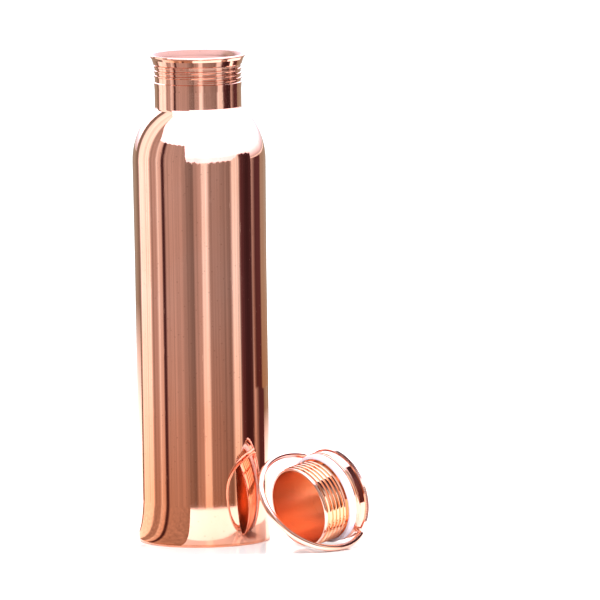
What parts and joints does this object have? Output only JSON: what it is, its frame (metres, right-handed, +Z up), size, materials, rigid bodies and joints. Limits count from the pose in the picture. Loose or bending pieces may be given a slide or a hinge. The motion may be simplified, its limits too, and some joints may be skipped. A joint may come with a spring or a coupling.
{
  "type": "copper water bottle",
  "caption": "Spun copper water bottle with a threaded neck, and its screw cap with a white seal and a swinging wire bail lying beside it",
  "frame": {"origin": "centre of the bottle's base, on the surface that it stands on", "axes": "+Z up the bottle's axis, +X from the bottle towards the lying cap, -Y to the front"},
  "size_m": [0.1259, 0.102, 0.266],
  "materials": {
    "copper_body": "spun, lacquered, turned lines",
    "copper_neck": "turned, threaded",
    "copper_inner": "plain",
    "copper_cap": "turned and knurled",
    "copper_plug": "turned, threaded",
    "white_seal": "soft silicone, satin",
    "eyelet_metal": "polished",
    "bail_wire": "drawn wire, polished"
  },
  "bodies": {
    "bottle": {"bottle_body": "copper_body", "neck": "copper_neck", "neck_sleeve": "copper_inner", "base_plate": "copper_inner", "base_seam_ring": "copper_body"},
    "seal": {"gasket": "white_seal"},
    "cap": {"knurled_rim": "copper_cap", "cap_top": "copper_cap", "cap_skirt": "copper_cap", "threaded_plug": "copper_plug", "plug_lip": "copper_plug", "plug_braze_ring": "copper_inner", "bail_eyelets": "eyelet_metal"},
    "bail": {"bail": "bail_wire"}
  },
  "joints": [
    {"name": "cap_turn", "type": "hinge", "parent": "bottle", "child": "seal", "pos_m": [0.0729, -0.025, 0.02783], "axis": [0.7386, 0.6466, 0.1908], "range_deg": [0, 2520]},
    {"name": "cap_travel", "type": "slide", "parent": "seal", "child": "cap", "axis": [0.7386, 0.6466, 0.1908], "range_m": [0, 0.0182]},
    {"name": "bail_swing", "type": "hinge", "parent": "cap", "child": "bail", "pos_m": [0.06965, -0.02785, 0.02699], "axis": [-0.5474, 0.4101, 0.7295], "range_deg": [0, 190]}
  ],
  "couplings": [
    {"joint": "cap_travel", "follows": "cap_turn", "m_per_rad": 0.0004138}
  ]
}
